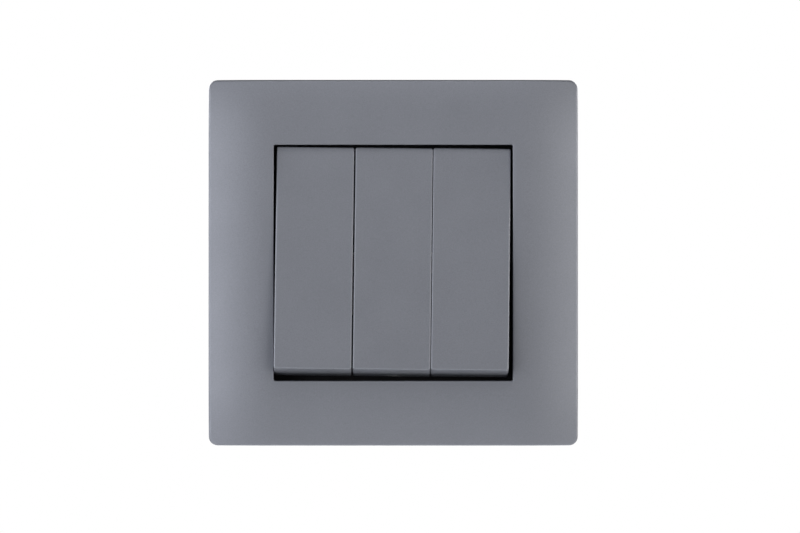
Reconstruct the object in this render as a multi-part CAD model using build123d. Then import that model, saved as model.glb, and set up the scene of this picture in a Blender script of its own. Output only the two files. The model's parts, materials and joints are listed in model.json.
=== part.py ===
from build123d import *
import math
import os

# Three-gang rocker light switch for a flush wall box, with its square cover frame.
# Millimetres. The origin is the centre of the yoke's back face, on the wall plane.
# -Y faces the room, +Y goes into the wall, +X is right seen from the room, +Z is up.
# The switch is drawn as it rests: every key is pressed in at its top.

# Cover frame: a bowed shell, flat beside the opening and falling away to its rim.
cover_width = 85.0
cover_height = 84.2
cover_corner = 2.0
cover_wall = 2.0
cover_front = -11.0
cover_edge_round = 0.5
bow_radius = 55.0
opening_width = 55.0
opening_height = 54.3
opening_corner = 0.4
skirt_wall = 1.4
skirt_back = -8.5

# Frame carrier: the dark ring behind the opening, with a well for the keys. It is pressed
# onto the yoke last, so pockets in its back clear the heads of the screws.
well_width = 55.2
well_height = 54.5
well_corner = 0.6
carrier_width = 66.0
carrier_height = 65.3
carrier_corner = 2.0
carrier_wall = 1.3
carrier_front = -8.3
carrier_flange = 68.0
flange_front = -2.2
screw_pocket = 3.8
pocket_front = -4.6
peg_spot = 30.1
peg_boss_radius = 2.2
peg_radius = 1.5

# Snap arms of the cover frame, two on each side, and their catches in the carrier.
snap_offset = 15.0
snap_width = 5.0
snap_reach = 0.8
snap_gap = 0.2
snap_wall = 1.2

# Yoke: the steel plate that is screwed to the wall box.
yoke_size = 71.0
yoke_thick = 1.0
yoke_front = -yoke_thick
yoke_corner = 3.0
lip_length = 16.0
lip_height = 1.4
lip_offset = 16.0
box_screw_pitch = 60.0
slot_width = 4.2
slot_length = 4.4
window_width = 41.8
window_height = 34.0
window_chamfer = 7.5

# Mechanism: three switch cells side by side.
cell_pitch = 14.6
housing_width = 45.8
housing_height = 38.0
housing_back = 24.0
housing_wall = 2.0
housing_chamfer = 5.0
housing_inner_chamfer = 3.8
front_cover_face = -2.6
assembly_screw_x = 19.0
assembly_screw_z = 14.8
assembly_screw_radius = 1.05

# Keys, cradles and the pivot they share.
pivot_y = -4.0
rest_tilt = -6.15
key_pitch = 18.0
key_width = 17.8
key_height = 51.2
key_face = -12.4
key_wall = 1.6
key_depth = 8.1
key_side_depth = 3.6
key_end_draft = 6.2
key_edge_round = 0.35
key_play_turn = 0.72
key_play_shift = (-0.175, -0.085, -0.195)
cradle_width = 10.6
hub_width = 12.2
cradle_reach = 13.0
cradle_front = -8.2
cradle_back = -6.6
pin_radius = 1.25
pin_length = 0.9
pin_gap = 0.05
ear_width = 2.0
ear_radius = 2.4

# Stem, spring and plunger, measured from the pivot along the stem.
stem_radius = 3.0
stem_bore = 2.08
stem_end = 11.0
spring_seat = -1.45
spring_radius = 1.55
spring_wire = 0.5
spring_turns = 5
plunger_radius = 2.0
plunger_start = 5.0
plunger_tip = 15.0

# Contact blades rock on the noses of the common busbar.
blade_pivot_y = 12.2
blade_width = 6.0
blade_length = 18.0
blade_thick = 0.8
blade_gap = 0.3
nose_radius = 0.25
contact_height = -7.5
contact_radius = 1.25
contact_head = 0.5
rivet_radius = 0.6
fixed_contact_face = 13.35
strip_front = 14.2
strip_back = 15.0

# Terminals: brass blocks with a wire bore along Y and a screw along Z.
terminal_width = 6.0
terminal_low = 10.2
terminal_high = 16.5
terminal_back = 21.9
wire_radius = 1.7
wire_height = 13.2
entry_size = 5.4
entry_chamfer = 0.6
terminal_screw_y = 18.5
terminal_screw_radius = 1.45
terminal_screw_head = 2.3

# Claws that spread behind the yoke, and their screws.
claw_x = 23.7
claw_y = 1.0
claw_z = 10.0
claw_width = 8.0
claw_thick = 0.8
claw_angle = 15.0
claw_screw_x = 26.0
claw_screw_radius = 1.5
claw_screw_head = 2.7
claw_screw_end = 15.0

cells = {"left": -1, "centre": 0, "right": 1}


def plate(width, height, front, back, corner=0.0, x=0.0, z=0.0):
    outline = RectangleRounded(width, height, corner) if corner else Rectangle(width, height)
    return extrude(Plane.XZ.offset(-back) * Pos(x, z) * outline, amount=back - front)


def cut_plate(width, height, front, back, cut):
    # A plate whose four corners are cut off at 45 degrees.
    outline = Rectangle(width, height)
    outline = chamfer(outline.vertices(), cut)
    return extrude(Plane.XZ.offset(-back) * outline, amount=back - front)


def rod_y(radius, front, back, x=0.0, z=0.0):
    return extrude(Plane.XZ.offset(-back) * Pos(x, z) * Circle(radius), amount=back - front)


def rod_x(radius, left, right, y, z):
    return extrude(Plane.YZ.offset(left) * Pos(y, z) * Circle(radius), amount=right - left)


def rod_z(radius, low, high, x, y):
    return extrude(Plane.XY.offset(low) * Pos(x, y) * Circle(radius), amount=high - low)


def bar(x, y, z):
    # A block between a low and a high value on each axis.
    spans = (x, y, z)
    middle = [(low + high) / 2 for low, high in spans]
    size = [high - low for low, high in spans]
    return Pos(*middle) * Box(*size)


def yz_profile(points, left, right):
    # An outline of (y, z) points, carried along X.
    return extrude(Plane.YZ.offset(left) * make_face(Polyline(*points, close=True)), amount=right - left)


def xy_profile(points, low, high):
    # An outline of (x, y) points, carried up Z.
    return extrude(Plane.XY.offset(low) * make_face(Polyline(*points, close=True)), amount=high - low)


def tilted(shape, degrees, about_y):
    # Turned about an axis along X that passes through (about_y, z = 0).
    return Pos(0, about_y, 0) * Rot(degrees, 0, 0) * Pos(0, -about_y, 0) * shape


# ---------------------------------------------------------------- cover frame

def bow_fall(distance):
    # How far the front has dropped back at a distance outside the flat.
    return bow_radius - math.sqrt(bow_radius**2 - distance**2)


def bow_arc_middle(reach):
    # The middle of the bow's arc, as (distance outside the flat, drop).
    half_angle = math.asin(reach / bow_radius) / 2
    return bow_radius * math.sin(half_angle), bow_radius * (1 - math.cos(half_angle))


def bowed_block(front):
    # The bowed line across X is carried along the same kind of line up Z, without turning,
    # so the two drops add up and no mitre line forms at the corners.
    flat_x = opening_width / 2
    flat_z = opening_height / 2
    reach_x = cover_width / 2 + 1 - flat_x
    reach_z = cover_height / 2 + 1 - flat_z
    end_x = flat_x + reach_x
    end_y = front + bow_fall(reach_x)
    mid_x, mid_drop = bow_arc_middle(reach_x)
    edges = [
        ThreePointArc((-end_x, end_y), (-flat_x - mid_x, front + mid_drop), (-flat_x, front)),
        Line((-flat_x, front), (flat_x, front)),
        ThreePointArc((flat_x, front), (flat_x + mid_x, front + mid_drop), (end_x, end_y)),
        Polyline((end_x, end_y), (end_x, 6), (-end_x, 6), (-end_x, end_y)),
    ]
    section = make_face(edges)
    mid_z, mid_drop = bow_arc_middle(reach_z)
    path = ThreePointArc(
        (0, front, flat_z),
        (0, front + mid_drop, flat_z + mid_z),
        (0, front + bow_fall(reach_z), flat_z + reach_z),
    )
    middle = extrude(Pos(0, 0, -flat_z) * section, amount=2 * flat_z, dir=(0, 0, 1))
    upper = Solid.sweep((Pos(0, 0, flat_z) * section).face(), Wire(path.edges()), mode=Vector(0, 0, 1))
    return middle + upper + mirror(upper, about=Plane.XY)


def on_each_side(piece_for, offsets):
    # Copies of a piece for all four sides; piece_for gets the side's half size.
    copies = []
    for angle, half in ((0, carrier_width / 2), (90, carrier_height / 2)):
        for turn in (angle, angle + 180):
            copies += [Rot(0, turn, 0) * Pos(0, 0, offset) * piece_for(half) for offset in offsets]
    return copies


def snap_arm(half):
    # Hangs from the inside of the cover and hooks into the carrier's outer wall.
    inner = half + snap_gap
    nose = half - snap_reach
    outline = [
        (inner, -9.3),
        (inner + snap_wall, -9.3),
        (inner + snap_wall, -3.5),
        (inner, -3.5),
        (nose, -4.2),
        (nose, -4.9),
        (inner, -5.4),
    ]
    return xy_profile(outline, -snap_width / 2, snap_width / 2)


def rim_rib(half):
    # A small gusset between the cover's front wall and its side wall.
    side = half + (cover_width - carrier_width) / 2 - cover_wall
    outline = [(side - 4.5, -8.9), (side + 0.3, -8.3), (side + 0.3, -2.8), (side - 0.6, -2.8), (side - 4.5, -7.4)]
    return xy_profile(outline, -0.5, 0.5)


def make_cover_frame():
    outside = plate(cover_width, cover_height, cover_front - 1, 0, cover_corner)
    shell = bowed_block(cover_front) & outside
    rim = [e for e in shell.edges() if e.center().Y < -1 and not is_upright(e) and is_rim(e)]
    shell = fillet(rim, cover_edge_round)
    inside = plate(cover_width - 2 * cover_wall, cover_height - 2 * cover_wall, cover_front, 1, cover_wall / 2)
    shell -= bowed_block(cover_front + cover_wall) & inside
    shell += plate(
        opening_width + 2 * skirt_wall, opening_height + 2 * skirt_wall, cover_front + 1, skirt_back, opening_corner
    )
    for piece in on_each_side(snap_arm, (-snap_offset, snap_offset)) + on_each_side(rim_rib, (-24, -8, 8, 24)):
        shell += piece
    return shell - plate(opening_width, opening_height, cover_front - 1, 1, opening_corner)


def is_upright(edge):
    return abs(edge.tangent_at(0.5).Y) > 0.9


def is_rim(edge):
    # On the outline of the cover, seen from the front.
    spot = edge.center()
    return abs(spot.X) > cover_width / 2 - 1 or abs(spot.Z) > cover_height / 2 - 1


# -------------------------------------------------------------- frame carrier

def make_frame_carrier():
    # An outer and an inner wall joined by a web at the front, open to the back.
    ring = plate(carrier_width, carrier_height, carrier_front, yoke_front, carrier_corner)
    ring += plate(carrier_flange, carrier_flange, flange_front, yoke_front, yoke_corner)
    channel = plate(
        carrier_width - 2 * carrier_wall, carrier_height - 2 * carrier_wall, carrier_front + carrier_wall, 0, 1.0
    )
    channel -= plate(
        well_width + 2 * carrier_wall, well_height + 2 * carrier_wall, carrier_front, 1, well_corner + carrier_wall
    )
    for x in (-peg_spot, peg_spot):
        for z in (-peg_spot, peg_spot):
            channel -= rod_y(peg_boss_radius, carrier_front, yoke_front, x, z)
    ring -= channel
    ring -= plate(well_width, well_height, carrier_front - 1, 0, well_corner)
    for piece in on_each_side(catch_window, (-snap_offset, snap_offset)):
        ring -= piece
    half = box_screw_pitch / 2
    for x, z in ((half, 0), (-half, 0), (0, half), (0, -half)):
        ring -= rod_y(screw_pocket, pocket_front, 0, x, z)
    for side in (-1, 1):
        ring -= rod_y(claw_screw_head + 0.4, pocket_front, 0, side * claw_screw_x, -side * claw_z)
    for x in (-peg_spot, peg_spot):
        for z in (-peg_spot, peg_spot):
            ring += rod_y(peg_radius, yoke_front - 0.5, -0.1, x, z)
    return ring


def catch_window(half):
    return bar((half - 1.5, half + 0.5), (-5.7, -3.4), (-snap_width / 2 - 0.3, snap_width / 2 + 0.3))


# ----------------------------------------------------------------------- yoke

def make_mounting_yoke():
    yoke = plate(yoke_size, yoke_size, yoke_front, 0, yoke_corner)
    yoke -= cut_plate(window_width, window_height, yoke_front - 1, 1, window_chamfer)
    half = box_screw_pitch / 2
    slot = SlotOverall(slot_length, slot_width)
    for side in (-1, 1):
        yoke -= extrude(Plane.XZ.offset(-1) * Pos(side * half, 0) * slot, amount=3)
        yoke -= extrude(Plane.XZ.offset(-1) * Pos(0, side * half) * Rot(0, 0, 90) * slot, amount=3)
        yoke -= rod_y(claw_screw_radius + 0.2, -2, 1, side * claw_screw_x, -side * claw_z)
    for x in (-1, 1):
        for z in (-1, 1):
            yoke -= rod_y(peg_radius + 0.05, -2, 1, x * peg_spot, z * peg_spot)
            yoke -= rod_y(assembly_screw_radius + 0.15, -2, 1, x * assembly_screw_x, z * assembly_screw_z)
    for turn in (0, 90, 180, 270):
        for offset in (-lip_offset, lip_offset):
            yoke += Rot(0, turn, 0) * Pos(0, 0, offset) * stiffening_lip()
    return yoke


def stiffening_lip():
    # The edge of the plate folded forwards, rounded where it bends.
    edge = yoke_size / 2
    lip = bar((edge - yoke_thick, edge), (yoke_front - lip_height, 0), (-lip_length / 2, lip_length / 2))
    bend = [e for e in lip.edges().filter_by(Axis.Z) if e.center().Y > -0.1 and e.center().X > edge - 0.1]
    return fillet(bend, 0.7)


# ------------------------------------------------------------ mechanism cases

def ear_centres():
    return [(k - 1.5) * cell_pitch for k in range(4)]


def make_mechanism_cover():
    # The front half of the mechanism's case, with the ears that carry the keys.
    cover = cut_plate(housing_width, housing_height, front_cover_face, yoke_front, housing_chamfer)
    rim = cut_plate(window_width - 0.4, window_height - 0.4, yoke_front, -0.1, window_chamfer)
    rim -= cut_plate(window_width - 2.8, window_height - 2.8, yoke_front - 1, 1, window_chamfer - 0.6)
    cover += rim
    opening = cell_pitch - ear_width
    for cell in cells.values():
        x = cell * cell_pitch
        cover -= bar((x - opening / 2, x + opening / 2), (front_cover_face - 1, 1), (-4.2, 4.2))
    for x in ear_centres():
        left = x - ear_width / 2
        right = x + ear_width / 2
        foot = [(yoke_front, 5.4), (front_cover_face, 4.6), (pivot_y, ear_radius)]
        outline = foot + [(y, -z) for y, z in reversed(foot)]
        cover += yz_profile(outline, left, right)
        cover += rod_x(ear_radius, left, right, pivot_y, 0)
        cover -= rod_x(pin_radius + pin_gap, left - 0.1, right + 0.1, pivot_y, 0)
    for x in (-assembly_screw_x, assembly_screw_x):
        for z in (-assembly_screw_z, assembly_screw_z):
            cover -= rod_y(assembly_screw_radius + 0.15, front_cover_face - 1, 1, x, z)
    return cover


def make_mechanism_housing():
    # The back half: an open box with a chamber for each cell and pockets for the terminals.
    box = cut_plate(housing_width, housing_height, 0, housing_back, housing_chamfer)
    back_edges = [e for e in box.edges() if e.center().Y > housing_back - 0.01]
    box = chamfer(back_edges, 1.0)
    inner_width = housing_width - 2 * housing_wall
    inner_height = housing_height - 2 * housing_wall
    floor = housing_back - housing_wall
    box -= cut_plate(inner_width, inner_height, -1, floor, housing_inner_chamfer)
    for x in (-cell_pitch / 2, cell_pitch / 2):
        wall = bar((x - 0.6, x + 0.6), (3, floor + 0.5), (-inner_height / 2 - 0.5, inner_height / 2 + 0.5))
        box += wall - bar((x - 2, x + 2), (2, strip_back + 0.4), (-4.5, 4.5))
    for x in (-assembly_screw_x, assembly_screw_x):
        for z in (-assembly_screw_z, assembly_screw_z):
            box += rod_y(2.1, 0, strip_front - 0.4, x, z)
            box -= rod_y(assembly_screw_radius + 0.05, -1, 10, x, z)
    for cell in cells.values():
        x = cell * cell_pitch
        box += bar((x - 2.5, x + 2.5), (strip_back, floor + 0.5), (-1.5, 1.5))
        box += bar((x - 2.0, x + 2.0), (strip_back, floor + 0.5), (contact_height - 1.5, contact_height + 1.5))
    for x, side in terminal_spots():
        box += terminal_pocket(x, side, floor)
        low, high = sorted((side * (inner_height / 2 - 1), side * (housing_height / 2 + 1)))
        box -= rod_z(terminal_screw_head + 0.3, low, high, x, terminal_screw_y)
        low, high = side * wire_height - entry_size / 2, side * wire_height + entry_size / 2
        box -= bar((x - entry_size / 2, x + entry_size / 2), (floor - 1, housing_back + 1), (low, high))
    return chamfer([e for e in box.edges() if is_entry_edge(e.center())], entry_chamfer)


def is_entry_edge(middle):
    # On the mouth of a window that a wire goes in through.
    if middle.Y < housing_back - 0.01:
        return False
    reach = entry_size / 2 + 0.01
    spots = [(x, side * wire_height) for x, side in terminal_spots()]
    return any(abs(middle.X - x) < reach and abs(middle.Z - z) < reach for x, z in spots)


def terminal_spots():
    # (x, side): three outgoing terminals at the bottom and the common one at the top.
    return [(cell * cell_pitch, -1) for cell in cells.values()] + [(0, 1)]


def terminal_pocket(x, side, floor):
    # Three thin walls that hold a terminal block: one above it, and one at each side.
    half = terminal_width / 2
    low, high = sorted((side * (terminal_low - 0.1), side * (terminal_low - 0.9)))
    walls = bar((x - half - 1, x + half + 1), (strip_back + 0.1, floor + 0.5), (low, high))
    low, high = sorted((side * (terminal_low - 0.9), side * (terminal_high + 0.7)))
    for edge in (-1, 1):
        near, far = sorted((x + edge * (half + 0.1), x + edge * (half + 1)))
        walls += bar((near, far), (strip_back + 0.1, floor + 0.5), (low, high))
    return walls


def make_assembly_screws():
    screws = []
    for x in (-assembly_screw_x, assembly_screw_x):
        for z in (-assembly_screw_z, assembly_screw_z):
            head = rod_y(1.9, front_cover_face - 1.1, front_cover_face, x, z)
            head = fillet([e for e in head.edges() if e.center().Y < front_cover_face - 1], 0.5)
            screws.append((head + rod_y(assembly_screw_radius, front_cover_face - 0.1, 9.5, x, z)).solid())
    return Compound(screws)


# ------------------------------------------------------------ keys and cradles

def key_offset(cell):
    return cell * key_pitch + key_play_shift[cell + 1]


def make_key(cell):
    # A hollow rocker: deep end walls that flare to the back, shallow side walls between them.
    half = key_height / 2
    flare = math.tan(math.radians(key_end_draft))
    slant = key_wall / math.cos(math.radians(key_end_draft))
    foot = key_face + key_depth
    side = key_face + key_side_depth
    end = [(key_face, half), (foot, half + key_depth * flare), (foot, half - 0.7), (side, half - 5.2)]
    body = yz_profile(end + [(y, -z) for y, z in reversed(end)], -key_width / 2, key_width / 2)
    face_edges = [e for e in body.edges() if e.center().Y < key_face + 0.01]
    body = fillet(face_edges, key_edge_round)
    inner = key_face + key_wall
    cavity = [(inner, half + key_wall * flare - slant), (0, half - key_face * flare - slant)]
    body -= yz_profile(
        cavity + [(y, -z) for y, z in reversed(cavity)], -key_width / 2 + key_wall, key_width / 2 - key_wall
    )
    body = Pos(cell * key_pitch, 0, 0) * body
    x = cell * cell_pitch
    for sign in (-1, 1):
        rib_low, rib_high = sorted((sign * 8.4, sign * 9.6))
        body += bar((x - 5.5, x + 5.5), (inner - 0.2, cradle_front - 0.15), (rib_low, rib_high))
        body += key_hook(x, inner, sign)
        body += bar((x + sign * 4.0 - 0.5, x + sign * 4.0 + 0.5), (inner - 0.2, inner + 1.2), (-22, 22))
    body = Pos(key_offset(cell) - cell * key_pitch, 0, 0) * body
    return Rot(0, key_play_turn, 0) * tilted(body, rest_tilt, pivot_y)


def key_hook(x, inner, sign):
    # A springy arm inside the key that snaps behind the end of the cradle.
    near = cradle_reach + 0.4
    outline = [
        (inner - 0.2, near),
        (inner - 0.2, near + 1.2),
        (cradle_back + 1.0, near + 1.2),
        (cradle_back + 0.7, near - 0.1),
        (cradle_back + 0.15, near - 1.0),
        (cradle_back + 0.15, near),
    ]
    return yz_profile([(y, sign * z) for y, z in outline], x - 2.5, x + 2.5)


def make_cradle(cell):
    # Carries the key, turns on two pins and reaches into the case with a hollow stem. Its
    # plate is narrower than its hub, so that it clears the walls of the keys beside it.
    half = cradle_width / 2
    hub = hub_width / 2
    body = bar((-half, half), (cradle_front, cradle_back), (-cradle_reach, cradle_reach))
    body = fillet(body.edges().filter_by(Axis.Y), 1.0)
    cheek = [(cradle_back - 0.2, 6.0), (pivot_y, ear_radius)]
    outline = cheek + [(y, -z) for y, z in reversed(cheek)]
    for sign in (-1, 1):
        left, right = sorted((sign * (half - 1.4), sign * half))
        body += yz_profile(outline, left, right)
        left, right = sorted((sign * (half - 1.4), sign * hub))
        body += rod_x(ear_radius, left, right, pivot_y, 0)
        left, right = sorted((sign * (hub - 0.2), sign * (hub + pin_length)))
        body += rod_x(pin_radius, left, right, pivot_y, 0)
        web = [(cradle_back - 0.2, sign * 6.5), (cradle_back - 0.2, 0), (pivot_y, 0), (pivot_y, sign * 2.9)]
        body += yz_profile(web, -0.6, 0.6)
    body += rod_y(stem_radius, cradle_back - 0.2, pivot_y + stem_end)
    body -= rod_y(stem_bore, pivot_y + spring_seat, pivot_y + stem_end + 1)
    return tilted(Pos(cell * cell_pitch, 0, 0) * body, rest_tilt, pivot_y)


def make_plunger(cell):
    # A pin with a domed tip that slides in the stem and rides on the contact blade.
    ball = pivot_y + plunger_tip - plunger_radius
    body = rod_y(plunger_radius, pivot_y + plunger_start, ball) + Pos(0, ball, 0) * Sphere(plunger_radius)
    back_edge = [e for e in body.edges() if e.center().Y < pivot_y + plunger_start + 0.01]
    body = chamfer(back_edge, 0.4)
    return tilted(Pos(cell * cell_pitch, 0, 0) * body, rest_tilt, pivot_y)


def make_plunger_spring(cell):
    # An open coil of wire between the floor of the stem's bore and the plunger.
    start = pivot_y + spring_seat + spring_wire / 2
    length = plunger_start - spring_seat - spring_wire
    coil = Helix(pitch=length / spring_turns, height=length, radius=spring_radius)
    profile = Plane(coil @ 0, z_dir=coil % 0) * Rectangle(spring_wire * 0.8, spring_wire * 0.8)
    body = Solid.sweep(profile.face(), Wire(coil.edges()), is_frenet=True)
    body = Pos(cell * cell_pitch, start, 0) * Rot(-90, 0, 0) * body
    return tilted(body, rest_tilt, pivot_y)


# -------------------------------------------------------------------- contacts

def make_contact_blade(cell):
    # A copper strip that seesaws: waisted over its pivot, with a rivet hole for its contact.
    back = blade_pivot_y - blade_gap
    front = back - blade_thick
    body = plate(blade_width, blade_length, front, back, 1.2)
    for sign in (-1, 1):
        body -= rod_y(1.2, front - 1, back + 1, sign * (blade_width / 2 + 0.4), 0)
    body -= rod_y(rivet_radius, front - 1, back + 1, 0, contact_height)
    return tilted(Pos(cell * cell_pitch, 0, 0) * body, -rest_tilt, blade_pivot_y)


def contact_rivet(face, back):
    # A button on one side of a strip, a shank through it and a small head behind it.
    way = 1 if back > face else -1
    def between(radius, a, b):
        return rod_y(radius, min(a, b), max(a, b), 0, contact_height)
    seat = face + way * contact_head
    rivet = between(contact_radius, face, seat) + between(rivet_radius, seat, back)
    return rivet + between(rivet_radius + 0.35, back, back + way * 0.2)


def make_moving_contact(cell):
    back = blade_pivot_y - blade_gap
    rivet = contact_rivet(back + contact_head, back - blade_thick)
    face_edge = [e for e in rivet.edges() if e.center().Y > back + contact_head - 0.01]
    rivet = chamfer(face_edge, 0.15)
    return tilted(Pos(cell * cell_pitch, 0, 0) * rivet, -rest_tilt, blade_pivot_y)


def make_fixed_contacts():
    # Each sits on its strip; its button is as thick as the gap in front of the strip needs.
    rivets = []
    for cell in cells.values():
        x = cell * cell_pitch
        rivet = rod_y(contact_radius, fixed_contact_face, strip_front, x, contact_height)
        rivets.append((rivet + rod_y(rivet_radius, strip_front, strip_back, x, contact_height)).solid())
    return Compound(rivets)


def make_common_busbar():
    # One brass strip behind all the blades, with a nose under each and a tail to its terminal.
    reach = cell_pitch + 3.5
    body = bar((-reach, reach), (strip_front, strip_back), (-2.2, 2.2))
    body += bar((-2.4, 2.4), (strip_front, strip_back), (0, terminal_high - 1))
    nose = [(blade_pivot_y, nose_radius), (strip_front + 0.1, 1.1)]
    outline = nose + [(y, -z) for y, z in reversed(nose)]
    for cell in cells.values():
        x = cell * cell_pitch
        body += yz_profile(outline, x - 1.9, x + 1.9)
        body += rod_x(nose_radius, x - 1.9, x + 1.9, blade_pivot_y, 0)
    return body


def make_contact_strip(cell):
    # From the fixed contact down to the outgoing terminal.
    x = cell * cell_pitch
    body = bar((x - 2.4, x + 2.4), (strip_front, strip_back), (1 - terminal_high, contact_height + 2.2))
    body = fillet(body.edges().filter_by(Axis.Y), 0.8)
    return body - rod_y(rivet_radius, strip_front - 1, strip_back + 1, x, contact_height)


def make_terminal_block(x, side):
    low, high = sorted((side * terminal_low, side * terminal_high))
    body = bar((x - terminal_width / 2, x + terminal_width / 2), (strip_back, terminal_back), (low, high))
    body = chamfer(body.edges().filter_by(Axis.Y), 0.4)
    body -= rod_y(wire_radius, strip_back - 1, terminal_back + 1, x, side * wire_height)
    low, high = sorted((side * wire_height, side * (terminal_high + 1)))
    return body - rod_z(terminal_screw_radius + 0.05, low, high, x, terminal_screw_y)


def make_terminal_screws():
    # Backed out, so that the wire bores are free.
    screws = []
    for x, side in terminal_spots():
        shank = sorted((side * (wire_height + wire_radius + 0.2), side * (terminal_high + 0.4)))
        head = sorted((side * (terminal_high + 0.3), side * (terminal_high + 1.7)))
        screw = rod_z(terminal_screw_radius, *shank, x, terminal_screw_y)
        screw += rod_z(terminal_screw_head, *head, x, terminal_screw_y)
        slot = sorted((side * (terminal_high + 1.0), side * (terminal_high + 2.0)))
        screw -= bar((x - 0.35, x + 0.35), (terminal_screw_y - 3, terminal_screw_y + 3), slot)
        screws.append(screw.solid())
    return Compound(screws)


# ----------------------------------------------------------------------- claws

def make_claw(side):
    # A bent steel fork: a foot for the screw, two prongs along the case and a toothed tip.
    slope = math.tan(math.radians(claw_angle))
    inner = claw_x - claw_thick / 2
    outer = claw_x + claw_thick / 2
    foot_end = claw_screw_x + 2.4
    foot_front = claw_y - 0.55
    foot_back = foot_front + claw_thick / math.cos(math.radians(claw_angle))
    outline = [
        (inner, foot_front),
        (foot_end, foot_front + (foot_end - inner) * slope),
        (foot_end - 0.2, foot_back + (foot_end - inner) * slope),
        (outer, foot_back + (outer - inner) * slope),
        (outer, 16.6),
        (outer + 2.3, 18.9),
        (outer + 1.7, 19.5),
        (inner, 17.0),
    ]
    half = claw_width / 2
    body = xy_profile(outline, -half, half)
    body -= bar((inner - 1, outer + 1), (3.4, 16.0), (-2.0, 2.0))
    screw_hole = SlotOverall(4.6, 3.8)
    body -= extrude(Plane.XZ.offset(-4) * Pos(claw_screw_x, 0) * screw_hole, amount=5)
    for k in range(4):
        z = (k - 1.5) * 2.0
        tooth_gap = [(outer + 1.1, z), (outer + 3.5, z - 0.9), (outer + 3.5, z + 0.9)]
        body -= extrude(Plane.XZ.offset(-21) * make_face(Polyline(*tooth_gap, close=True)), amount=4)
    body = Pos(0, 0, -claw_z) * body
    return body if side > 0 else Rot(0, 180, 0) * body


def make_claw_screws():
    screws = []
    for side in (-1, 1):
        x = side * claw_screw_x
        z = -side * claw_z
        head = rod_y(claw_screw_head, yoke_front - 1.6, yoke_front, x, z)
        head = chamfer([e for e in head.edges() if e.center().Y < yoke_front - 1.5], 0.3)
        head -= bar((x - 3, x + 3), (yoke_front - 2, yoke_front - 0.8), (z - 0.4, z + 0.4))
        screws.append((head + rod_y(claw_screw_radius, yoke_front - 0.1, claw_screw_end, x, z)).solid())
    return Compound(screws)


# ------------------------------------------------------------------- all parts

def make_parts():
    parts = {
        "cover_frame": make_cover_frame(),
        "frame_carrier": make_frame_carrier(),
        "mounting_yoke": make_mounting_yoke(),
        "mechanism_cover": make_mechanism_cover(),
        "mechanism_housing": make_mechanism_housing(),
        "assembly_screws": make_assembly_screws(),
        "common_busbar": make_common_busbar(),
        "fixed_contacts": make_fixed_contacts(),
        "terminal_block_common": make_terminal_block(0, 1),
        "terminal_screws": make_terminal_screws(),
        "claw_left": make_claw(-1),
        "claw_right": make_claw(1),
        "claw_screws": make_claw_screws(),
    }
    for name, cell in cells.items():
        parts["key_" + name] = make_key(cell)
        parts["cradle_" + name] = make_cradle(cell)
        parts["plunger_" + name] = make_plunger(cell)
        parts["plunger_spring_" + name] = make_plunger_spring(cell)
        parts["contact_blade_" + name] = make_contact_blade(cell)
        parts["moving_contact_" + name] = make_moving_contact(cell)
        parts["contact_strip_" + name] = make_contact_strip(cell)
        parts["terminal_block_" + name] = make_terminal_block(cell * cell_pitch, -1)
    return parts


os.makedirs("parts", exist_ok=True)
for name, shape in make_parts().items():
    export_step(shape, "parts/" + name + ".step")
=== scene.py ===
import bmesh
import bpy
import json
import math
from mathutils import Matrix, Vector


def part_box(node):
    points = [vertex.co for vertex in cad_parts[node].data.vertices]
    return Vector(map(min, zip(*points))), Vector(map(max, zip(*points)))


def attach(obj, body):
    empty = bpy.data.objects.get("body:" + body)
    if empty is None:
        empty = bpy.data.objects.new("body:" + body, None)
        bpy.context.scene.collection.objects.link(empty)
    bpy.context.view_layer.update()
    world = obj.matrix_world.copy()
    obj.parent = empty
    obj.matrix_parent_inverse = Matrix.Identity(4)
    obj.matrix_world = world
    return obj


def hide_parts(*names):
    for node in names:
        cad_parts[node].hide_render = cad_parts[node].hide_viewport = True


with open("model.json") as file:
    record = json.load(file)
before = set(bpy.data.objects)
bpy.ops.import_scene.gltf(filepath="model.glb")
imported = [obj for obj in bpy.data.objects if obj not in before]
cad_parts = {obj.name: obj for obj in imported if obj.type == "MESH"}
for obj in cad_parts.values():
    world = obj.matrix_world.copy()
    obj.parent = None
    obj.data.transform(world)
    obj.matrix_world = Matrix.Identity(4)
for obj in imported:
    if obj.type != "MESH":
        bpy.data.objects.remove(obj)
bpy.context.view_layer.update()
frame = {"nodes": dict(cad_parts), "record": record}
mm = 0.001
print("frame loaded:", len(frame["nodes"]), "nodes")


def clearSelection():
    if bpy.context.object and bpy.context.object.mode != "OBJECT":
        bpy.ops.object.mode_set(mode="OBJECT")
    bpy.ops.object.select_all(action="DESELECT")


def editWhole(piece):
    clearSelection()
    piece.select_set(True)
    bpy.context.view_layer.objects.active = piece
    bpy.ops.object.mode_set(mode="EDIT")
    bpy.ops.mesh.select_all(action="SELECT")


def choose(kind, test):
    # in edit mode: selects what passes the test, and nothing else
    mesh = bmesh.from_edit_mesh(bpy.context.object.data)
    bpy.ops.mesh.select_mode(type=kind)
    bpy.ops.mesh.select_all(action="DESELECT")
    group = {"VERT": mesh.verts, "EDGE": mesh.edges, "FACE": mesh.faces}[kind]
    for element in group:
        if test(element):
            element.select_set(True)
    mesh.select_flush_mode()
    bmesh.update_edit_mesh(bpy.context.object.data)


def near(value, target, slack=0.02 * mm):
    return abs(value - target) < slack


def middle(element):
    # of an edge or a face
    if isinstance(element, bmesh.types.BMEdge):
        return (element.verts[0].co + element.verts[1].co) / 2
    return element.calc_center_median()


def bothEnds(edge, test):
    return all(test(vert.co) for vert in edge.verts)


def edgeRuns(edge, axis):
    # how far an edge points along an axis, 0 to 1
    way = edge.verts[1].co - edge.verts[0].co
    return abs(way[axis]) / max(way.length, 1e-9)


def extrudeBy(x=0.0, y=0.0, z=0.0):
    bpy.ops.mesh.extrude_region_move(TRANSFORM_OT_translate={"value": (x, y, z)})


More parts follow.
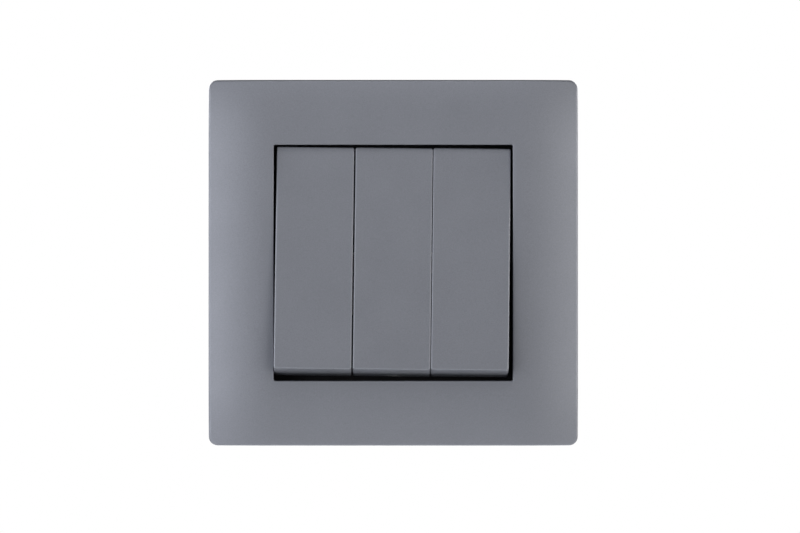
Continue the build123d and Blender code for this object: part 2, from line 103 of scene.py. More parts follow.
def bevelEdges(size, steps):
    bpy.ops.mesh.bevel(offset=size, segments=steps, affect="EDGES")


def startShaping(name):
    # the new primitive's place goes into its mesh, and it stays in edit mode
    piece = bpy.context.object
    bpy.ops.object.transform_apply(location=True, rotation=True, scale=True)
    piece.name = piece.data.name = name
    bpy.ops.object.mode_set(mode="EDIT")
    return piece


def addCube(name, low, high):
    # between two corners
    clearSelection()
    centre = [(a + b) / 2 for a, b in zip(low, high)]
    bpy.ops.mesh.primitive_cube_add(size=1, location=centre)
    bpy.context.object.scale = [b - a for a, b in zip(low, high)]
    return startShaping(name)


def addRod(name, radius, bottom, top, sides):
    # a cylinder up Z on the origin
    clearSelection()
    bpy.ops.mesh.primitive_cylinder_add(
        vertices=sides, radius=radius, depth=top - bottom, location=(0, 0, (bottom + top) / 2)
    )
    return startShaping(name)


def addModifier(piece, kind, **settings):
    modifier = piece.modifiers.new(kind.title(), kind)
    for name, value in settings.items():
        setattr(modifier, name, value)
    bpy.context.view_layer.objects.active = piece
    bpy.ops.object.modifier_apply(modifier=modifier.name)


def finishShape(piece, angle=32, merge=0.002 * mm):
    # welds, points the faces outwards and smooths all but the sharp edges
    editWhole(piece)
    bpy.ops.mesh.remove_doubles(threshold=merge)
    bpy.ops.mesh.normals_make_consistent(inside=False)
    bpy.ops.object.mode_set(mode="OBJECT")
    bpy.ops.object.shade_smooth_by_angle(angle=math.radians(angle))
    piece.select_set(False)


def joinPieces(pieces, name):
    clearSelection()
    for piece in pieces:
        piece.select_set(True)
    bpy.context.view_layer.objects.active = pieces[0]
    bpy.ops.object.join()
    pieces[0].name = pieces[0].data.name = name
    return pieces[0]


def copyPiece(piece, name):
    twin = piece.copy()
    twin.data = piece.data.copy()
    twin.name = twin.data.name = name
    bpy.context.scene.collection.objects.link(twin)
    return twin


def turnPiece(piece, degrees, axis, centre):
    # by the right-hand rule; with no window the operator turns the other way
    editWhole(piece)
    bpy.ops.transform.rotate(
        value=-math.radians(degrees), orient_axis=axis, center_override=centre
    )
    bpy.ops.object.mode_set(mode="OBJECT")


def shiftPiece(piece, x=0.0, y=0.0, z=0.0):
    editWhole(piece)
    bpy.ops.transform.translate(value=(x, y, z))
    bpy.ops.object.mode_set(mode="OBJECT")


finishOfPiece = {}


def standIn(piece, body, node, slot):
    # the piece rides on a body and stands for a CAD node, in one of the record's finishes
    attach(piece, body)
    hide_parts(node)
    finishOfPiece[piece.name] = slot


# cover frame: a shell that is flat at the opening and bows away to its rim
coverSpec = {
    "openWide": 55.0 * mm, "openHigh": 54.3 * mm, "openCorner": 0.4 * mm, "openEdge": 0.16 * mm,
    "bowRadius": 55.0 * mm, "bowSteps": 7, "wall": 1.9 * mm,
    "rimCorner": 2.0 * mm, "rimEdge": 0.5 * mm, "rimEdgeBack": -5.0 * mm,
    "skirtWall": 1.4 * mm, "skirtSetBack": 0.03 * mm,
    "skirtStart": 1.2 * mm, "skirtBack": -8.5 * mm,
    "carrierHalves": (33.0 * mm, 32.65 * mm),  # across and up; the arms snap onto it
}
armSpec = {
    "spots": (-15 * mm, 15 * mm), "halfWide": 2.5 * mm, "inside": 0.2 * mm, "outside": 1.4 * mm,
    "root": -9.3 * mm, "tip": -3.5 * mm,
    "noseCuts": (-5.4 * mm, -4.9 * mm, -4.2 * mm), "noseReach": 1.0 * mm,
}
ribSpec = {
    "spots": (-24 * mm, -8 * mm, 8 * mm, 24 * mm), "halfThick": 0.5 * mm,
    "wallPlace": 7.5 * mm,  # the cover's side wall, from the carrier's side
    "reach": 4.5 * mm, "sunk": 0.3 * mm, "foot": 0.6 * mm,
    "front": -8.9 * mm, "back": -2.8 * mm, "slope": 4.6 * mm, "bowRoom": 0.6 * mm,
}


def bowStations(reach):
    # the bow's arc as (out, back) places, from the flat to the rim
    radius = coverSpec["bowRadius"]
    steps = coverSpec["bowSteps"]
    full = math.asin(reach / radius)
    angles = [full * k / steps for k in range(steps + 1)]
    return [(radius * math.sin(a), radius * (1 - math.cos(a))) for a in angles]


def onOutline(p, high):
    # on the cover's rounded outline, seen from the front
    corner = coverSpec["rimCorner"]
    x, z = abs(p.x) - (high.x - corner), abs(p.z) - (high.z - corner)
    if x > 0 and z > 0:
        return math.hypot(x, z) > corner - 0.06 * mm
    return x > corner - 0.03 * mm or z > corner - 0.03 * mm


def makeCoverShell():
    low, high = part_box("cover_frame")
    front = low.y
    halfWide, halfHigh = coverSpec["openWide"] / 2, coverSpec["openHigh"] / 2

    def onRim(p):
        return near(abs(p.x), high.x) or near(abs(p.z), high.z)

    def onRimCorner(p):
        return near(abs(p.x), high.x) and near(abs(p.z), high.z)

    def inOpeningCorner(p):
        return near(abs(p.x), halfWide, 0.2 * mm) and near(abs(p.z), halfHigh, 0.2 * mm)

    def atOpening(p):
        return abs(p.x) < halfWide + 0.02 * mm and abs(p.z) < halfHigh + 0.02 * mm

    clearSelection()
    bpy.ops.mesh.primitive_plane_add(
        size=1, location=(0, front, 0), rotation=(math.pi / 2, 0, 0)
    )
    bpy.context.object.scale = (coverSpec["openWide"], coverSpec["openHigh"], 1)
    cover = startShaping("coverFrameShell")
    bpy.ops.mesh.select_all(action="SELECT")
    bpy.ops.mesh.delete(type="ONLY_FACE")
    for axis, half, rim in ((0, halfWide, high.x), (2, halfHigh, high.z)):
        bow = bowStations(rim - half)
        for side in (-1, 1):
            choose("EDGE", lambda e: bothEnds(e, lambda p: near(p[axis], side * half)))
            for (out, back), (nextOut, nextBack) in zip(bow, bow[1:]):
                step = [0, nextBack - back, 0]
                step[axis] = side * (nextOut - out)
                extrudeBy(*step)
    choose("EDGE", lambda e: e.is_boundary and onRim(middle(e)))
    extrudeBy()
    bpy.ops.transform.resize(value=(1, 0, 1), center_override=(0, high.y, 0))
    choose("EDGE", lambda e: edgeRuns(e, 1) > 0.99 and onRimCorner(e.verts[0].co))
    bevelEdges(coverSpec["rimCorner"], steps=6)
    finishShape(cover)
    addModifier(cover, "SOLIDIFY", thickness=coverSpec["wall"], offset=-1, use_even_offset=True)
    editWhole(cover)
    choose("EDGE", lambda e: edgeRuns(e, 1) > 0.9 and inOpeningCorner(middle(e)))
    bevelEdges(coverSpec["openCorner"], steps=3)
    choose("EDGE", lambda e: bothEnds(e, atOpening) and near(middle(e).y, front))
    bevelEdges(coverSpec["openEdge"], steps=3)
    choose("EDGE", lambda e: (
        edgeRuns(e, 1) < 0.3
        and middle(e).y < coverSpec["rimEdgeBack"]
        and onOutline(middle(e), high)
    ))
    bevelEdges(coverSpec["rimEdge"], steps=5)
    finishShape(cover, merge=0.0005 * mm)
    return cover


def makeSkirt():
    # the low wall behind the opening's edge
    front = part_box("cover_frame")[0].y
    halfWide = coverSpec["openWide"] / 2 + coverSpec["skirtWall"]
    halfHigh = coverSpec["openHigh"] / 2 + coverSpec["skirtWall"]
    skirt = addCube(
        "skirt",
        (-halfWide, front + coverSpec["skirtStart"], -halfHigh),
        (halfWide, coverSpec["skirtBack"], halfHigh),
    )
    choose("FACE", lambda f: abs(f.normal.y) > 0.9)
    bpy.ops.mesh.inset(thickness=coverSpec["skirtWall"] - coverSpec["skirtSetBack"])
    bpy.ops.mesh.bridge_edge_loops()
    finishShape(skirt)
    return skirt


def makeSnapArm(half, spot):
    # a springy arm with a nose that hooks into the carrier
    inner, outer = half + armSpec["inside"], half + armSpec["outside"]
    arm = addCube(
        "snapArm",
        (inner, armSpec["root"], spot - armSpec["halfWide"]),
        (outer, armSpec["tip"], spot + armSpec["halfWide"]),
    )
    for cut in armSpec["noseCuts"]:
        bpy.ops.mesh.select_all(action="SELECT")
        bpy.ops.mesh.bisect(plane_co=(0, cut, 0), plane_no=(0, 1, 0))
    noseRows = armSpec["noseCuts"][1:]
    choose("VERT", lambda v: near(v.co.x, inner) and any(near(v.co.y, y) for y in noseRows))
    bpy.ops.transform.translate(value=(-armSpec["noseReach"], 0, 0))
    finishShape(arm)
    return arm


def makeRimRib(half, spot):
    # a gusset that stiffens the side wall against the front
    wall = half + ribSpec["wallPlace"]
    inner, outer = wall - ribSpec["reach"], wall + ribSpec["sunk"]
    front, back = ribSpec["front"], ribSpec["back"]
    rib = addCube(
        "rimRib",
        (inner, front, spot - ribSpec["halfThick"]),
        (outer, back, spot + ribSpec["halfThick"]),
    )
    bpy.ops.mesh.select_all(action="SELECT")
    bpy.ops.mesh.bisect(plane_co=(wall - ribSpec["foot"], 0, 0), plane_no=(1, 0, 0))
    choose("VERT", lambda v: near(v.co.x, inner) and near(v.co.y, back))
    bpy.ops.transform.translate(value=(0, -ribSpec["slope"], 0))
    choose("VERT", lambda v: near(v.co.x, outer) and near(v.co.y, front))
    bpy.ops.transform.translate(value=(0, ribSpec["bowRoom"], 0))
    finishShape(rib)
    return rib


def makeCoverBack():
    # the same arms and ribs on each of the four sides
    made = [makeSkirt()]
    for quarter in range(4):
        half = coverSpec["carrierHalves"][quarter % 2]
        arms = [makeSnapArm(half, spot) for spot in armSpec["spots"]]
        ribs = [makeRimRib(half, spot) for spot in ribSpec["spots"]]
        for piece in arms + ribs:
            turnPiece(piece, 90 * quarter, "Y", (0, 0, 0))
        made += arms + ribs
    return made


coverFrame = joinPieces([makeCoverShell()] + makeCoverBack(), "coverFrameShell")
standIn(coverFrame, "mechanism", "cover_frame", "satin_grey")
print("cover frame made")


# keys: hollow rockers with deep end walls and shallow side walls
keySpec = {
    "pitch": 18.0 * mm, "width": 17.8 * mm, "height": 51.1 * mm, "wall": 1.6 * mm,
    "face": -12.4 * mm, "sideBack": -8.8 * mm, "endBack": -4.3 * mm, "draft": 6.2,
    "gussetFrom": 20.5 * mm, "gussetTo": 25.0 * mm,
    "corner": 0.43 * mm, "round": 0.3 * mm, "flatHold": 0.06 * mm,
    "pivot": (0, -4.0 * mm, 0), "restTilt": -6.15, "playTurn": 0.72,
    "playShift": {"left": -0.175 * mm, "centre": -0.085 * mm, "right": -0.195 * mm},
    "playRise": {"left": 0.05 * mm, "centre": 0.12 * mm, "right": 0.22 * mm},
}
keyRibSpec = {
    "sunk": 0.2 * mm,  # how far each rib reaches into the face's wall
    "crossFrom": 8.4 * mm, "crossTo": 9.6 * mm, "crossHalf": 5.5 * mm, "crossBack": -8.35 * mm,
    "longPlace": 4.0 * mm, "longThick": 1.0 * mm, "longHalf": 22 * mm, "longDepth": 1.4 * mm,
    "hookFrom": 13.4 * mm, "hookTo": 14.6 * mm, "hookHalf": 2.5 * mm, "hookBack": -6.45 * mm,
    "noseDepth": 0.85 * mm, "noseTaper": 0.8, "noseReach": 1.0 * mm,
}
cells = {"left": -1, "centre": 0, "right": 1}
cellPitch = 14.6 * mm  # of the cradles, closer than the keys


def makeKeyShell():
    halfWide, halfHigh = keySpec["width"] / 2, keySpec["height"] / 2
    face, sideBack, endBack = keySpec["face"], keySpec["sideBack"], keySpec["endBack"]
    gusset = keySpec["gussetFrom"]
    slope = math.tan(math.radians(keySpec["draft"]))
    lean = slope * (endBack - sideBack)

    def onSideBack(f):
        return f.normal.y > 0.9 and near(middle(f).y, sideBack)

    key = addCube("keyShell", (-halfWide, face, -halfHigh), (halfWide, sideBack, halfHigh))
    for side in (-1, 1):
        choose("VERT", lambda v: near(v.co.y, sideBack) and v.co.z * side > 0)
        bpy.ops.transform.translate(value=(0, 0, side * slope * (sideBack - face)))
    choose("FACE", lambda f: f.normal.y > 0.9)
    bpy.ops.mesh.inset(thickness=keySpec["wall"])
    extrudeBy(y=face + keySpec["wall"] - sideBack)
    for cut in (-gusset, gusset):
        choose("FACE", onSideBack)
        bpy.ops.mesh.bisect(plane_co=(0, 0, cut), plane_no=(0, 0, 1))
    for side in (-1, 1):
        foot = side * (gusset + lean)
        choose("FACE", lambda f: onSideBack(f) and side * middle(f).z > gusset)
        extrudeBy(y=endBack - sideBack, z=side * lean)
        choose("VERT", lambda v: near(v.co.y, endBack) and near(v.co.z, foot, 0.1 * mm))
        bpy.ops.transform.translate(value=(0, 0, side * keySpec["gussetTo"] - foot))
    choose("EDGE", lambda e: (
        edgeRuns(e, 0) < 0.1
        and edgeRuns(e, 1) > 0.9
        and abs(middle(e).x) > halfWide - 0.1 * mm
    ))
    bevelEdges(keySpec["corner"], steps=3)
    choose("EDGE", lambda e: bothEnds(e, lambda p: near(p.y, face)))
    bevelEdges(keySpec["round"], steps=4)
    choose("FACE", lambda f: f.normal.y < -0.9999 and f.calc_area() > 100 * mm * mm)
    bpy.ops.mesh.inset(thickness=keySpec["flatHold"])  # keeps the flat of the face shaded flat
    finishShape(key, angle=40, merge=0.0005 * mm)
    return key


def makeKeyRibs(x):
    # ribs that the cradle rests against, and the hooks that snap over its ends
    spec = keyRibSpec
    inner = keySpec["face"] + keySpec["wall"] - spec["sunk"]
    made = []
    for side in (-1, 1):
        low, high = sorted((side * spec["crossFrom"], side * spec["crossTo"]))
        made.append(addCube(
            "crossRib",
            (x - spec["crossHalf"], inner, low),
            (x + spec["crossHalf"], spec["crossBack"], high),
        ))
        left = x + side * spec["longPlace"] - spec["longThick"] / 2
        made.append(addCube(
            "longRib",
            (left, inner, -spec["longHalf"]),
            (left + spec["longThick"], inner + spec["longDepth"], spec["longHalf"]),
        ))
        low, high = sorted((side * spec["hookFrom"], side * spec["hookTo"]))
        made.append(addCube(
            "hook",
            (x - spec["hookHalf"], inner, low),
            (x + spec["hookHalf"], spec["hookBack"], high),
        ))
        choose("FACE", lambda f: f.normal.y > 0.9)
        extrudeBy(y=spec["noseDepth"])
        bpy.ops.transform.resize(
            value=(1, 1, spec["noseTaper"]), center_override=(x, 0, side * spec["hookTo"])
        )
        choose("VERT", lambda v: (
            near(v.co.y, spec["hookBack"]) and near(v.co.z, side * spec["hookFrom"])
        ))
        bpy.ops.transform.translate(value=(0, 0, -side * spec["noseReach"]))
    for piece in made:
        finishShape(piece)
    return made


keyShell = makeKeyShell()
for cell, place in cells.items():
    key = copyPiece(keyShell, "key" + cell.title() + "Shell")
    shiftPiece(key, z=keySpec["playRise"][cell])
    keyRibs = makeKeyRibs(place * (cellPitch - keySpec["pitch"]))
    key = joinPieces([key] + keyRibs, "key" + cell.title() + "Moulding")
    shiftPiece(key, x=place * keySpec["pitch"] + keySpec["playShift"][cell])
    turnPiece(key, keySpec["restTilt"], "X", keySpec["pivot"])
    turnPiece(key, keySpec["playTurn"], "Y", (0, 0, 0))
    standIn(key, "rocker_" + cell, "key_" + cell, "satin_grey")
bpy.data.objects.remove(keyShell)
print("keys made")


# screws: the same making for every size, with a slotted head and a rolled thread
screwSpec = {
    "assembly_screws": {
        "headRadius": 1.9 * mm, "headLength": 1.1 * mm,
        "shankRadius": 1.05 * mm, "shankLength": 12.1 * mm,
        "slotWidth": 0.5 * mm, "slotDepth": 0.5 * mm, "pitch": 0.8 * mm,
        "finish": "zinc_steel",
    },
    "terminal_screws": {
        "headRadius": 2.3 * mm, "headLength": 1.4 * mm,
        "shankRadius": 1.45 * mm, "shankLength": 1.7 * mm,
        "slotWidth": 0.7 * mm, "slotDepth": 0.7 * mm, "pitch": 0.6 * mm,
        "finish": "zinc_steel",
    },
    "claw_screws": {
        "headRadius": 2.7 * mm, "headLength": 1.6 * mm,
        "shankRadius": 1.5 * mm, "shankLength": 16.0 * mm,
        "slotWidth": 0.8 * mm, "slotDepth": 0.8 * mm, "pitch": 0.7 * mm,
        # painted shade: these heads take the near-black steel so that they stay dark where they
        # show in the gap beside the keys
        "finish": "black_zinc_steel",
    },
}
screwPlaces = {
    # underside of each head in mm, and the turn about X that points its shank
    "assembly_screws": [((x, -2.6, z), -90) for x in (-19.0, 19.0) for z in (-14.8, 14.8)],
    "terminal_screws": [
        ((-14.6, 18.5, -16.8), 0), ((0.0, 18.5, -16.8), 0), ((14.6, 18.5, -16.8), 0),
        ((0.0, 18.5, 16.8), 180),
    ],
    "claw_screws": [((-26.0, -1.0, 10.0), -90), ((26.0, -1.0, -10.0), -90)],
}
screwMaking = {
    "headSides": 48, "shankSides": 32, "threadSteps": 24,
    "headEdge": 0.14,  # of the head's radius
    "threadDepth": 0.55, "threadFoot": 0.46, "threadStart": 0.8,  # of the pitch
    "threadSunk": 1.05,  # of the thread's depth
    "sunk": 0.1 * mm, "firstSlot": 17, "nextSlot": 61,  # degrees that the slots are turned
}


def makeScrewHead(name, spec):
    bottom, half = -spec["headLength"], spec["slotWidth"] / 2
    head = addRod(name + "Head", spec["headRadius"], bottom, 0, screwMaking["headSides"])
    choose("EDGE", lambda e: bothEnds(e, lambda p: near(p.z, bottom)))
    bevelEdges(spec["headRadius"] * screwMaking["headEdge"], steps=3)
    for side in (-half, half):
        choose("FACE", lambda f: f.normal.z < -0.99)
        bpy.ops.mesh.bisect(plane_co=(side, 0, 0), plane_no=(1, 0, 0))
    choose("FACE", lambda f: f.normal.z < -0.99 and abs(middle(f).x) < half)
    extrudeBy(z=spec["slotDepth"])
    bpy.ops.object.mode_set(mode="OBJECT")
    return head


def makeScrewShank(name, spec, depth):
    shank = addRod(
        name + "Shank", spec["shankRadius"] - depth, -screwMaking["sunk"], spec["shankLength"],
        screwMaking["shankSides"],
    )
    choose("FACE", lambda f: f.normal.z > 0.99)
    bevelEdges(depth, steps=1)
    bpy.ops.object.mode_set(mode="OBJECT")
    return shank


def makeScrewThread(spec, depth):
    # a three-sided profile, wound up the shank by a Screw modifier
    pitch, crest = spec["pitch"], spec["shankRadius"]
    foot, halfFoot = crest - depth * screwMaking["threadSunk"], pitch * screwMaking["threadFoot"]
    clearSelection()
    bpy.ops.mesh.primitive_circle_add(vertices=3, radius=1, fill_type="NOTHING")
    thread = bpy.context.object
    bpy.ops.object.mode_set(mode="EDIT")
    for k, (out, up) in enumerate([(foot, -halfFoot), (crest, 0), (foot, halfFoot)]):
        choose("VERT", lambda v: v.index == k)
        corners = bmesh.from_edit_mesh(thread.data).verts
        corners.ensure_lookup_table()
        target = Vector((out, 0, up + pitch * screwMaking["threadStart"]))
        bpy.ops.transform.translate(value=target - corners[k].co)
    bpy.ops.object.mode_set(mode="OBJECT")
    steps = screwMaking["threadSteps"]
    turns = int((spec["shankLength"] - pitch * screwMaking["threadStart"] * 2) / pitch)
    addModifier(
        thread, "SCREW", axis="Z", screw_offset=pitch, iterations=turns,
        steps=steps, render_steps=steps,
    )
    editWhole(thread)
    bpy.ops.mesh.select_mode(type="EDGE")
    bpy.ops.mesh.select_all(action="SELECT")
    bpy.ops.mesh.fill_holes(sides=3)
    bpy.ops.object.mode_set(mode="OBJECT")
    return thread


def makeScrew(name, spec):
    # stands on the origin with its head below and its shank up Z
    depth = spec["pitch"] * screwMaking["threadDepth"]
    head = makeScrewHead(name, spec)
    shank = makeScrewShank(name, spec, depth)
    thread = makeScrewThread(spec, depth)
    for piece in (head, shank, thread):
        finishShape(piece, angle=30, merge=0.0005 * mm)
    return joinPieces([head, shank, thread], name + "Master")


for node, spec in screwSpec.items():
    # one screw is made, and its copies are stood in their places and joined
    name = node.split("_")[0]
    master = makeScrew(name, spec)
    copies = []
    for k, (place, turn) in enumerate(screwPlaces[node]):
        screw = copyPiece(master, name + "Screw" + str(k))
        slotTurn = screwMaking["firstSlot"] + screwMaking["nextSlot"] * k
        turnPiece(screw, turn, "X", (0, 0, 0))
        turnPiece(screw, slotTurn, "Y" if turn == -90 else "Z", (0, 0, 0))
        shiftPiece(screw, *(Vector(place) * mm))
        copies.append(screw)
    bpy.data.objects.remove(master)
    standIn(joinPieces(copies, name + "Screws"), "mechanism", node, spec["finish"])
print("screws made")


def colour(hexCode):
    # sRGB hex to the linear colour that the shaders take
    parts = [int(hexCode[i:i + 2], 16) / 255 for i in (0, 2, 4)]
    return [c / 12.92 if c <= 0.04045 else ((c + 0.055) / 1.055) ** 2.4 for c in parts] + [1.0]


def addNode(material, kind, sockets=None, links=None):
    # a node with its socket values, and its inputs linked from (node, output)
    node = material.node_tree.nodes.new("ShaderNode" + kind)
    for name, value in (sockets or {}).items():
        node.inputs[name].default_value = value
    for name, (source, output) in (links or {}).items():
        material.node_tree.links.new(source.outputs[output], node.inputs[name])
    return node


def startMaterial(name):
    # the material, and its Object coordinates as a source for patterns
    material = bpy.data.materials.new(name)
    material.use_nodes = True
    material.node_tree.nodes.clear()
    return material, (addNode(material, "TexCoord"), "Object")


def addNoise(material, place, grain, detail, distortion=0.0):
    # cloudy noise, its cells about one grain wide
    sockets = {"Scale": 1 / grain, "Detail": detail, "Distortion": distortion}
    return addNode(material, "TexNoise", sockets, {"Vector": place})


def addLines(material, place, stretch, grain):
    # fine lines along the axis whose stretch is small
    along = addNode(material, "Mapping", {"Scale": stretch}, {"Vector": place})
    return addNoise(material, (along, "Vector"), grain, detail=1.0)


def addTones(material, noise, dark, light):
    sockets = {"Color1": colour(dark), "Color2": colour(light)}
    return addNode(material, "MixRGB", sockets, {"Fac": (noise, "Fac")})


def addRoughness(material, noise, low, high):
    # the middle of the noise's range is spread over the two values
    sockets = {"From Min": 0.3, "From Max": 0.7, "To Min": low, "To Max": high}
    return addNode(material, "MapRange", sockets, {"Value": (noise, "Fac")})


def addRelief(material, noise, height):
    sockets = {"Strength": 1.0, "Distance": height}
    return addNode(material, "Bump", sockets, {"Height": (noise, "Fac")})


def addSurface(material, sockets, tones, roughness=None, relief=None):
    links = {"Base Color": (tones, "Color")}
    if roughness:
        links["Roughness"] = (roughness, "Result")
    if relief:
        links["Normal"] = (relief, "Normal")
    shader = addNode(material, "BsdfPrincipled", sockets, links)
    addNode(material, "OutputMaterial", links={"Surface": (shader, "BSDF")})
    return material


greySpec = {
    "flakeDark": "747780", "flakeLight": "848790", "flake": 0.25 * mm,
    "metallic": 0.45, "roughness": (0.46, 0.5), "orangePeel": 0.003 * mm,
}


def makeSatinGreyLacquer():
    # aluminium-flake lacquer sprayed on moulded ABS: a soft sheen that lifts where the cover
    # turns to a light, a fine sparkle and a faint orange peel
    material, place = startMaterial("satinGreyFlakeLacquerOnAbs")
    flake = addNoise(material, place, grain=greySpec["flake"], detail=1.0)
    cloud = addNoise(material, place, grain=9 * mm, detail=2.0)
    peel = addNoise(material, place, grain=0.8 * mm, detail=1.0)
    sparkle = addTones(material, flake, greySpec["flakeDark"], greySpec["flakeLight"])
    sheen = addRoughness(material, cloud, *greySpec["roughness"])
    relief = addRelief(material, peel, greySpec["orangePeel"])
    sockets = {"Metallic": greySpec["metallic"], "IOR": 1.5}
    return addSurface(material, sockets, sparkle, sheen, relief)


def makeBlackMoulding():
    # ABS moulded in an eroded tool: dull black with a fine even tooth
    material, place = startMaterial("blackAbsErodedMoulding")
    tooth = addNoise(material, place, grain=0.3 * mm, detail=2.0)
    cloud = addNoise(material, place, grain=4 * mm, detail=2.0)
    base = addTones(material, cloud, dark="0e0e0f", light="171718")
    dull = addRoughness(material, tooth, low=0.52, high=0.66)
    relief = addRelief(material, tooth, height=0.015 * mm)
    return addSurface(material, {"IOR": 1.53}, base, dull, relief)


def makeCaseMoulding():
    # urea compound pressed hot: dense grey, half gloss, with the resin's flow as a faint mottle
    material, place = startMaterial("greyUreaMouldedCase")
    flow = addNoise(material, place, grain=6 * mm, detail=4.0, distortion=0.6)
    skin = addNoise(material, place, grain=0.5 * mm, detail=2.0)
    base = addTones(material, flow, dark="696b6c", light="7b7d7d")
    gloss = addRoughness(material, skin, low=0.34, high=0.46)
    relief = addRelief(material, skin, height=0.008 * mm)
    return addSurface(material, {"IOR": 1.55}, base, gloss, relief)


def makeWhiteMoulding():
    # natural polyamide: a waxy off-white that lets a little light in
    material, place = startMaterial("naturalPolyamideMoulding")
    cloud = addNoise(material, place, grain=3 * mm, detail=2.0)
    skin = addNoise(material, place, grain=0.4 * mm, detail=2.0)
    base = addTones(material, cloud, dark="d9d7cf", light="e6e4de")
    wax = addRoughness(material, skin, low=0.38, high=0.5)
    relief = addRelief(material, skin, height=0.006 * mm)
    sockets = {"IOR": 1.53, "Subsurface Weight": 0.08, "Subsurface Scale": 1 * mm}
    return addSurface(material, sockets, base, wax, relief)


def makeZincSteel():
    # strip steel, stamped and bright zinc plated: cool and cloudy, the rolling lines still showing
    material, place = startMaterial("brightZincPlatedStripSteel")
    lines = addLines(material, place, stretch=(0.06, 1, 1), grain=0.2 * mm)
    cloud = addNoise(material, place, grain=3 * mm, detail=3.0)
    base = addTones(material, cloud, dark="b4b8bd", light="c9cbc8")
    haze = addRoughness(material, cloud, low=0.27, high=0.43)
    relief = addRelief(material, lines, height=0.0012 * mm)
    return addSurface(material, {"Metallic": 1.0}, base, haze, relief)


def makeBlackZincSteel():
    # the same steel made near-black as painted shade, so that steel seen through the gaps round
    # the keys stays dark: a soft dark metal, a little uneven
    material, place = startMaterial("blackPassivatedStripSteel")
    cloud = addNoise(material, place, grain=5 * mm, detail=3.0)
    skin = addNoise(material, place, grain=0.3 * mm, detail=2.0)
    base = addTones(material, cloud, dark="2b2b2d", light="353538")
    haze = addRoughness(material, skin, low=0.42, high=0.54)
    relief = addRelief(material, skin, height=0.002 * mm)
    return addSurface(material, {"Metallic": 0.8}, base, haze, relief)


def makeSpringSteel():
    # drawn spring wire: darker than the plated steel, with a dry drawn skin
    material, place = startMaterial("drawnSpringSteelWire")
    skin = addNoise(material, place, grain=0.4 * mm, detail=2.0)
    base = addTones(material, skin, dark="7e7f83", light="98999b")
    dry = addRoughness(material, skin, low=0.26, high=0.38)
    return addSurface(material, {"Metallic": 1.0}, base, dry)


def makeBrass():
    # drawn brass bar, sawn and drilled: warm yellow with drawing lines along Y
    material, place = startMaterial("drawnTerminalBrass")
    lines = addLines(material, place, stretch=(1, 0.08, 1), grain=0.16 * mm)
    cloud = addNoise(material, place, grain=1.6 * mm, detail=3.0)
    base = addTones(material, cloud, dark="b3924a", light="caae66")
    haze = addRoughness(material, cloud, low=0.31, high=0.38)
    relief = addRelief(material, lines, height=0.0012 * mm)
    return addSurface(material, {"Metallic": 1.0}, base, haze, relief)


def makeCopperAlloy():
    # rolled bronze strip: redder than the brass, with rolling lines up Z
    material, place = startMaterial("rolledContactBronze")
    lines = addLines(material, place, stretch=(1, 1, 0.08), grain=0.16 * mm)
    cloud = addNoise(material, place, grain=1.8 * mm, detail=3.0)
    base = addTones(material, cloud, dark="a8764c", light="be8f62")
    haze = addRoughness(material, cloud, low=0.33, high=0.4)
    relief = addRelief(material, lines, height=0.0012 * mm)
    return addSurface(material, {"Metallic": 1.0}, base, haze, relief)


def makeSilverContact():
    # headed silver rivets: the whitest metal of the switch, softly marked by the tool
    material, place = startMaterial("headedSilverRivet")
    mark = addNoise(material, place, grain=0.3 * mm, detail=2.0)
    base = addTones(material, mark, dark="cbcac6", light="dfdedb")
    haze = addRoughness(material, mark, low=0.18, high=0.32)
    return addSurface(material, {"Metallic": 1.0}, base, haze)


finishes = {
    "satin_grey": makeSatinGreyLacquer(),
    "black_moulding": makeBlackMoulding(),
    "case_moulding": makeCaseMoulding(),
    "white_moulding": makeWhiteMoulding(),
    "zinc_steel": makeZincSteel(),
    "black_zinc_steel": makeBlackZincSteel(),
    "spring_steel": makeSpringSteel(),
    "brass": makeBrass(),
    "copper_alloy": makeCopperAlloy(),
    "silver_contact": makeSilverContact(),
}


def paint(piece, finish):
    piece.data.materials.clear()
    piece.data.materials.append(finishes[finish])


finishOfNode = {part["node"]: part["material_slot"] for part in frame["record"]["subparts"]}
for name, node in frame["nodes"].items():
    paint(node, finishOfNode[name])
for name, finish in finishOfPiece.items():
    paint(bpy.data.objects[name], finish)
print("finishes made")


stageSpec = {
    "floorSize": 2.6, "floorDrop": -0.6, "skyLight": 0.01,
    "cameraPlace": (0.00155, -1.0824, -0.00085), "lens": 210, "sensor": 36, "clipStart": 0.01,
}
lightSpec = {
    # place, size across and up, watts, colour; each one points at the switch
    "leftNarrow": ((-0.55, -0.95, 0.05), (0.4, 0.8), 2.35, (0.99, 0.99, 1.0)),
    "leftFront": ((-0.75, -0.75, 0.05), (0.5, 0.8), 2.65, (0.99, 1.0, 1.0)),
    "leftSide": ((-1.0, -0.12, 0.05), (0.5, 0.8), 4.3, (0.98, 0.98, 1.0)),
    "leftLow": ((-0.6, -0.35, -0.4), (0.3, 0.3), 0.7, (0.88, 0.9, 1.0)),
    "leftNear": ((-0.35, -0.2, 0.08), (0.12, 0.3), 0.17, (1.0, 1.0, 1.0)),
    "rightNarrow": ((0.55, -0.95, 0.05), (0.4, 0.8), 1.15, (1.0, 0.98, 0.93)),
    "rightFront": ((0.75, -0.75, 0.05), (0.5, 0.8), 2.9, (1.0, 0.98, 0.94)),
    "rightSide": ((1.0, -0.12, 0.05), (0.5, 0.8), 6.0, (1.0, 0.97, 0.91)),
    "nearTop": ((0.0, -0.22, 0.3), (0.3, 0.12), 0.36, (1.0, 1.0, 1.0)),
    # these light the back
    "backLeft": ((-0.6, 0.75, 0.35), (0.6, 0.6), 8.0, (1.0, 1.0, 1.0)),
    "backRight": ((0.6, 0.75, 0.35), (0.6, 0.6), 6.0, (1.0, 1.0, 1.0)),
    "backLow": ((0.0, 0.7, -0.5), (0.6, 0.4), 3.0, (1.0, 1.0, 1.0)),
}
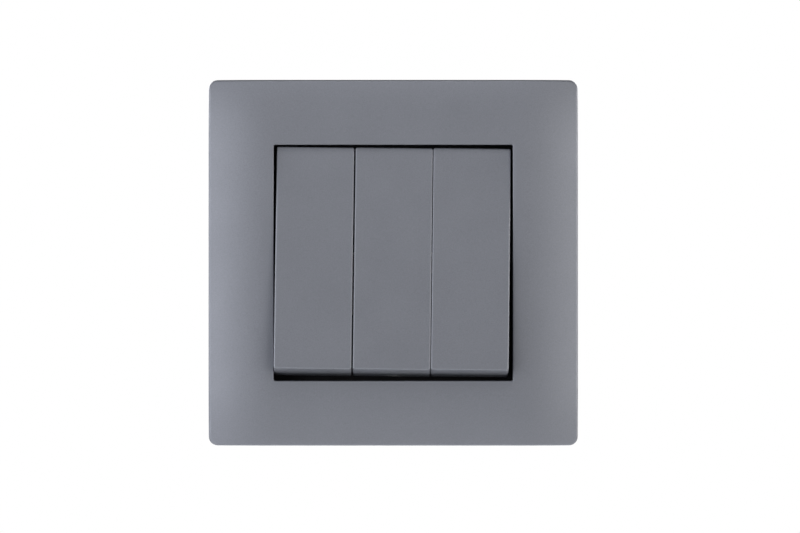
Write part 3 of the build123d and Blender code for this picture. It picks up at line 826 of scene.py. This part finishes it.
floorLightSpec = {
    # place, size and watts; these hang below the switch and point straight down
    "floorBack": ((0.0, 0.85, -0.15), (2.2, 0.8), 8.0),
    "floorFront": ((0.0, -0.85, -0.15), (2.2, 0.8), 1.0),
}


def makeFloor():
    clearSelection()
    bpy.ops.mesh.primitive_plane_add(
        size=stageSpec["floorSize"], location=(0, 0, stageSpec["floorDrop"])
    )
    floor = bpy.context.object
    floor.name = floor.data.name = "paleFloor"
    material, place = startMaterial("paleMattBoard")
    cloud = addNoise(material, place, grain=0.125, detail=2.0)
    base = addTones(material, cloud, dark="f1f1ef", light="f6f6f5")
    addSurface(material, {"Roughness": 0.9, "Specular IOR Level": 0.1}, base)
    floor.data.materials.append(material)


def makeSky():
    # white where the camera sees it, and a dim fill for the light that reaches the switch
    world = bpy.data.worlds.new("studioWhite")
    bpy.context.scene.world = world
    world.use_nodes = True
    sky = world.node_tree.nodes["Background"]
    sky.inputs["Color"].default_value = (1, 1, 1, 1)
    ray = addNode(world, "LightPath")
    sockets = {"To Min": stageSpec["skyLight"], "To Max": 1.0}
    level = addNode(world, "MapRange", sockets, {"Value": (ray, "Is Camera Ray")})
    world.node_tree.links.new(level.outputs["Result"], sky.inputs["Strength"])


def addLight(name, place, size, watts):
    # a soft box that points straight down
    clearSelection()
    bpy.ops.object.light_add(type="AREA", location=place)
    light = bpy.context.object
    light.name = light.data.name = name
    light.data.shape = "RECTANGLE"
    light.data.size, light.data.size_y = size
    light.data.energy = watts
    return light


def makeLights():
    for name, (place, size, watts, tone) in lightSpec.items():
        light = addLight(name, place, size, watts)
        light.data.color = tone
        light.rotation_euler = (-Vector(place)).to_track_quat("-Z", "Y").to_euler()
    for name, (place, size, watts) in floorLightSpec.items():
        addLight(name, place, size, watts)


def makeCamera():
    clearSelection()
    bpy.ops.object.camera_add(location=stageSpec["cameraPlace"], rotation=(math.pi / 2, 0, 0))
    camera = bpy.context.object
    camera.name = camera.data.name = "frontCamera"
    camera.data.lens = stageSpec["lens"]
    camera.data.sensor_width = stageSpec["sensor"]
    camera.data.clip_start = stageSpec["clipStart"]
    bpy.context.scene.camera = camera


makeFloor()
makeSky()
makeLights()
makeCamera()
bpy.context.scene.view_settings.view_transform = "Standard"
print("stage made")
